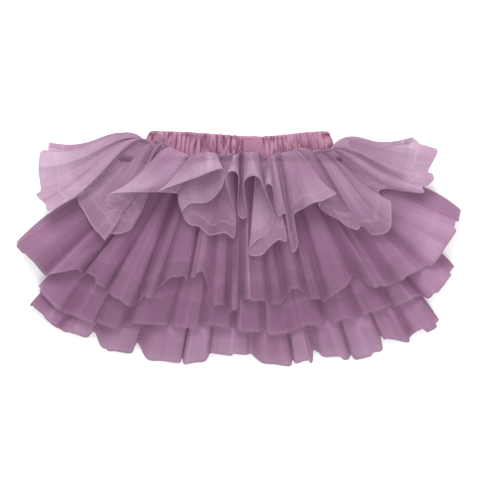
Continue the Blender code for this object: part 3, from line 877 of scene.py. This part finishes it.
def mask_group():
    """Masks of a gathered cloth: the painted light and shade of its folds, its way to the hem, its
    net, its streaks, its unevenness, and how far it is to one side."""
    group = bpy.data.node_groups.new("gathered cloth", "ShaderNodeTree")
    link = group.links.new
    group.interface.new_socket("Net scale", in_out="INPUT", socket_type="NodeSocketFloat")
    for name in ("Fold", "Reach", "Net", "Streaks", "Unevenness", "Sides"):
        group.interface.new_socket(name, in_out="OUTPUT", socket_type="NodeSocketFloat")
    inside = add(group, "NodeGroupInput")
    outside = add(group, "NodeGroupOutput")
    fold_map = add(group, "ShaderNodeUVMap", uv_map="fold")
    cloth_map = add(group, "ShaderNodeUVMap", uv_map="cloth")
    place = add(group, "ShaderNodeTexCoord")

    parts = add(group, "ShaderNodeSeparateXYZ")
    link(fold_map.outputs["UV"], parts.inputs[0])
    link(parts.outputs["X"], outside.inputs["Fold"])
    link(parts.outputs["Y"], outside.inputs["Reach"])

    net = add(group, "ShaderNodeTexVoronoi", feature="DISTANCE_TO_EDGE")
    link(cloth_map.outputs["UV"], net.inputs["Vector"])
    link(inside.outputs["Net scale"], net.inputs["Scale"])
    holes = add(group, "ShaderNodeMapRange", interpolation_type="SMOOTHSTEP")
    set_inputs(holes, {"From Min": 0.04, "From Max": 0.3})
    link(net.outputs["Distance"], holes.inputs["Value"])
    link(holes.outputs["Result"], outside.inputs["Net"])

    stretch = add(group, "ShaderNodeMapping")
    set_inputs(stretch, {"Scale": (1.0, 0.05, 1.0)})
    link(cloth_map.outputs["UV"], stretch.inputs["Vector"])
    streaks = add(group, "ShaderNodeTexNoise")
    set_inputs(streaks, {"Scale": 220.0, "Detail": 3.0})
    link(stretch.outputs["Vector"], streaks.inputs["Vector"])
    link(streaks.outputs["Fac"], outside.inputs["Streaks"])

    clouds = add(group, "ShaderNodeTexNoise")
    set_inputs(clouds, {"Scale": 45.0, "Detail": 4.0})
    link(place.outputs["Object"], clouds.inputs["Vector"])
    link(clouds.outputs["Fac"], outside.inputs["Unevenness"])

    axes = add(group, "ShaderNodeSeparateXYZ")
    link(place.outputs["Object"], axes.inputs[0])
    aside = add(group, "ShaderNodeMath", operation="ABSOLUTE")
    link(axes.outputs["X"], aside.inputs[0])
    sides = add(group, "ShaderNodeMapRange", interpolation_type="SMOOTHSTEP")
    set_inputs(sides, {"From Min": DENSE_SIDES[0] * MM, "From Max": DENSE_SIDES[1] * MM})
    link(aside.outputs[0], sides.inputs["Value"])
    link(sides.outputs["Result"], outside.inputs["Sides"])
    return group


def ramp(tree, value, stops):
    """Colours or greys along a value."""
    node = add(tree, "ShaderNodeValToRGB")
    elements = node.color_ramp.elements
    while len(elements) < len(stops):
        elements.new(0.5)
    for element, (place, colour) in zip(elements, stops):
        element.position = place
        element.color = (*colour, 1.0) if len(colour) == 3 else colour
    tree.links.new(value, node.inputs["Fac"])
    return node.outputs["Color"]


def mix(tree, share, first, second, blend="MIX"):
    node = add(tree, "ShaderNodeMix", data_type="RGBA", blend_type=blend)
    for socket, value in ((node.inputs["Factor"], share), (node.inputs[6], first),
                          (node.inputs[7], second)):
        if isinstance(value, bpy.types.NodeSocket):
            tree.links.new(value, socket)
        else:
            socket.default_value = value
    return node.outputs[2]


def multiply(tree, first, second):
    return mix(tree, 1.0, first, second, "MULTIPLY")


def grey(value):
    return (value, value, value, 1.0)


# How the streaks and the uneven clouds of a cloth shade it
STREAKS = ((0.35, grey(0.93)), (0.65, grey(1.07)))
CLOUDS = ((0.3, grey(0.92)), (0.7, grey(1.08)))
COTTON_CLOUDS = ((0.3, grey(0.9)), (0.7, grey(1.08)))

# The cotton from painted shade in its deep valleys to painted light on its ridges
COTTON_FOLDS = ((0.0, (0.065, 0.010, 0.032)), (0.45, (0.19, 0.075, 0.128)),
                (1.0, (0.335, 0.172, 0.245)))

# How the tulle is shaded on its way from the seam to the hem
EVEN = ((0.0, (1, 1, 1)), (1.0, (1, 1, 1)))
SHADED = ((0.3, (0.6, 0.55, 0.6)), (0.85, (1, 1, 1)))

# How dense the tulle is on its way from the seam to the hem: sheer ruffles, denser tiers
TOP_SHEER = ((0.0, grey(0.82)), (0.4, grey(0.6)), (0.9, grey(0.52)), (0.98, grey(0.47)),
             (0.99, grey(0.66)))
TIER_SHEER = ((0.0, grey(0.95)), (0.55, grey(0.9)), (0.82, grey(0.66)), (0.98, grey(0.47)),
              (0.99, grey(0.55)))
LOWEST_SHEER = ((0.0, grey(0.95)), (0.8, grey(0.9)), (0.98, grey(0.8)), (0.99, grey(0.85)))

# Where the pale cut edge, a painted highlight, starts, and where it is at its full strength
RIM_AT = (0.975, 0.99)

# A tulle's colours with painted shade in its folds, halfway, with painted light on its ridges and
# with a painted highlight at its cut edge, how clearly the edge and the second layer's hem show,
# and how it is shaded and how dense it is
Tulle = namedtuple("Tulle", "valley middle ridge rim rim_share layer_share shade sheer")

TOP_TULLE = Tulle((0.15, 0.077, 0.127), (0.245, 0.142, 0.214), (0.37, 0.27, 0.35),
                  (0.42, 0.31, 0.39), 0.42, 0.3, EVEN, TOP_SHEER)
TIER_TULLE = Tulle((0.11, 0.046, 0.09), (0.181, 0.092, 0.153), (0.30, 0.184, 0.272),
                   (0.33, 0.205, 0.30), 0.25, 0.08, SHADED, TIER_SHEER)
LOWEST_TIER_TULLE = TIER_TULLE._replace(sheer=LOWEST_SHEER)


def cloth_material(name, masks):
    """A new material, with its tree, its shader and the masks of gathered cloth in it."""
    material = bpy.data.materials.new(name)
    material.use_nodes = True
    tree = material.node_tree
    return material, tree, tree.nodes["Principled BSDF"], add(tree, "ShaderNodeGroup",
                                                              node_tree=masks)


def add_bump(tree, shader, height, strength, distance):
    bump = add(tree, "ShaderNodeBump")
    set_inputs(bump, {"Strength": strength, "Distance": distance})
    tree.links.new(height, bump.inputs["Height"])
    tree.links.new(bump.outputs["Normal"], shader.inputs["Normal"])


def make_tulle(name, masks, look):
    """Soft sheer tulle, with painted shade in its folds, painted light on its ridges and a painted
    highlight at its cut edge.
    """
    material, tree, shader, cloth = cloth_material(name, masks)
    reach = cloth.outputs["Reach"]
    rim = (*look.rim, 1.0)
    folds = ramp(tree, cloth.outputs["Fold"],
                 ((0.0, look.valley), (0.5, look.middle), (1.0, look.ridge)))
    streaked = multiply(tree, folds, ramp(tree, cloth.outputs["Streaks"], STREAKS))
    uneven = multiply(tree, streaked, ramp(tree, cloth.outputs["Unevenness"], CLOUDS))
    shaded = multiply(tree, uneven, ramp(tree, reach, look.shade))

    wander = add(tree, "ShaderNodeMath", operation="MULTIPLY_ADD")
    wander.inputs[1].default_value = -LAYER_WANDER
    tree.links.new(cloth.outputs["Unevenness"], wander.inputs[0])
    tree.links.new(reach, wander.inputs[2])
    strengths = (0.0, look.layer_share, look.layer_share, 0.0)
    line = ramp(tree, wander.outputs[0], [(LAYER_AT + stop, grey(strength))
                                          for stop, strength in zip(LAYER_LINE, strengths)])
    layered = mix(tree, line, shaded, rim)
    edge = ramp(tree, reach, ((RIM_AT[0], grey(0.0)), (RIM_AT[1], grey(look.rim_share))))
    tree.links.new(mix(tree, edge, layered, rim), shader.inputs["Base Color"])

    step = ramp(tree, wander.outputs[0], ((LAYER_AT + LAYER_STEP[0], grey(1.0)),
                                          (LAYER_AT + LAYER_STEP[1], grey(PAST_LAYER))))
    sheer = multiply(tree, ramp(tree, reach, look.sheer), step)
    dense = mix(tree, cloth.outputs["Sides"], sheer, grey(SIDE_DENSITY))
    tree.links.new(dense, shader.inputs["Alpha"])

    add_bump(tree, shader, cloth.outputs["Streaks"], strength=0.2, distance=0.0005)
    set_inputs(shader, {
        "Roughness": 0.85,
        "Specular IOR Level": 0.1,
        "Sheen Weight": 0.15,
        "Sheen Roughness": 0.5,
        "Sheen Tint": (0.9, 0.8, 0.9, 1.0),
        # A faint pink glow, painted light that lifts the shade in the deep folds as light scattered
        # through the tulle would
        "Emission Color": (0.285, 0.13, 0.25, 1.0),
        "Emission Strength": 0.16,
    })
    return material


def make_cotton(masks):
    """Pink cotton jersey: a fine knit, with painted shade down in its gathers."""
    material, tree, shader, cloth = cloth_material("waistband cotton jersey", masks)
    set_inputs(cloth, {"Net scale": 1600.0})
    folds = ramp(tree, cloth.outputs["Fold"], COTTON_FOLDS)
    clouds = ramp(tree, cloth.outputs["Unevenness"], COTTON_CLOUDS)
    tree.links.new(multiply(tree, folds, clouds), shader.inputs["Base Color"])
    add_bump(tree, shader, cloth.outputs["Net"], strength=0.35, distance=0.0003)
    set_inputs(shader, {
        "Roughness": 0.85,
        "Specular IOR Level": 0.1,
        "Sheen Weight": 0.04,
    })
    return material


# The floor, the lights and the camera are in metres. The camera looks straight down, and the
# photograph's frame is 480 mm wide at the cloth.
FLOOR_SIZE = 6.0
FLOOR_Z = -0.0005
CAMERA_AT = (0.0008, 0.0092)
CAMERA_HEIGHT = 1.62
FRAME_WIDTH = 0.480
CLOTH_HEIGHT = 0.02
SENSOR = 36.0


def make_floor():
    """A plain pale floor."""
    mesh = bmesh.new()
    bmesh.ops.create_grid(mesh, x_segments=1, y_segments=1, size=FLOOR_SIZE)
    for vert in mesh.verts:
        vert.co.z = FLOOR_Z
    data = bpy.data.meshes.new("floor")
    mesh.to_mesh(data)
    mesh.free()
    floor = bpy.data.objects.new("floor", data)
    bpy.context.scene.collection.objects.link(floor)
    material = bpy.data.materials.new("pale floor")
    material.use_nodes = True
    set_inputs(material.node_tree.nodes["Principled BSDF"],
               {"Base Color": (0.93, 0.93, 0.93, 1.0), "Roughness": 0.9})
    data.materials.append(material)


def add_light(name, place, size, power):
    """A round light that faces the origin."""
    data = bpy.data.lights.new(name, "AREA")
    data.shape = "DISK"
    data.size = size
    data.energy = power
    light = bpy.data.objects.new(name, data)
    light.location = place
    light.rotation_euler = (-Vector(place)).to_track_quat("-Z", "Y").to_euler()
    bpy.context.scene.collection.objects.link(light)


def make_camera():
    data = bpy.data.cameras.new("camera")
    data.sensor_width = SENSOR
    data.lens = SENSOR * (CAMERA_HEIGHT - CLOTH_HEIGHT) / FRAME_WIDTH
    camera = bpy.data.objects.new("camera", data)
    camera.location = (*CAMERA_AT, CAMERA_HEIGHT)
    bpy.context.scene.collection.objects.link(camera)
    bpy.context.scene.camera = camera


def light_studio():
    """A white world, a window light beyond the waistband and a weak fill beyond the hem."""
    world = bpy.data.worlds.new("studio")
    world.use_nodes = True
    set_inputs(world.node_tree.nodes["Background"],
               {"Color": (1.0, 1.0, 1.0, 1.0), "Strength": 1.2})
    bpy.context.scene.world = world
    add_light("window", (-0.25, 1.3, 1.3), size=0.9, power=30.0)
    add_light("fill", (0.5, -0.9, 1.5), size=1.2, power=8.0)
    bpy.context.scene.view_settings.view_transform = "Standard"


# The size of a tier's cloth, in metres: the mean of its seam's and its hem's run all round the
# ring, and its length from seam to hem
Cut = namedtuple("Cut", "width length")


def main():
    make_camera()
    light_studio()
    make_floor()
    masks = mask_group()
    band = make_waistband(make_cotton(masks))
    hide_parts("waistband")
    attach(band, "root")
    tiers = {"tier_1": make_top_tier(make_tulle("top tier tulle", masks, TOP_TULLE))}
    for tier in INNER_TIERS:
        look = LOWEST_TIER_TULLE if tier is INNER_TIERS[-1] else TIER_TULLE
        tulle = make_tulle(tier.name.replace("_", " ") + " tulle", masks, look)
        tiers[tier.name] = make_inner_tier(tier, tulle)
    for name, piece in tiers.items():
        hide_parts(name)
        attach(piece, "root")


main()
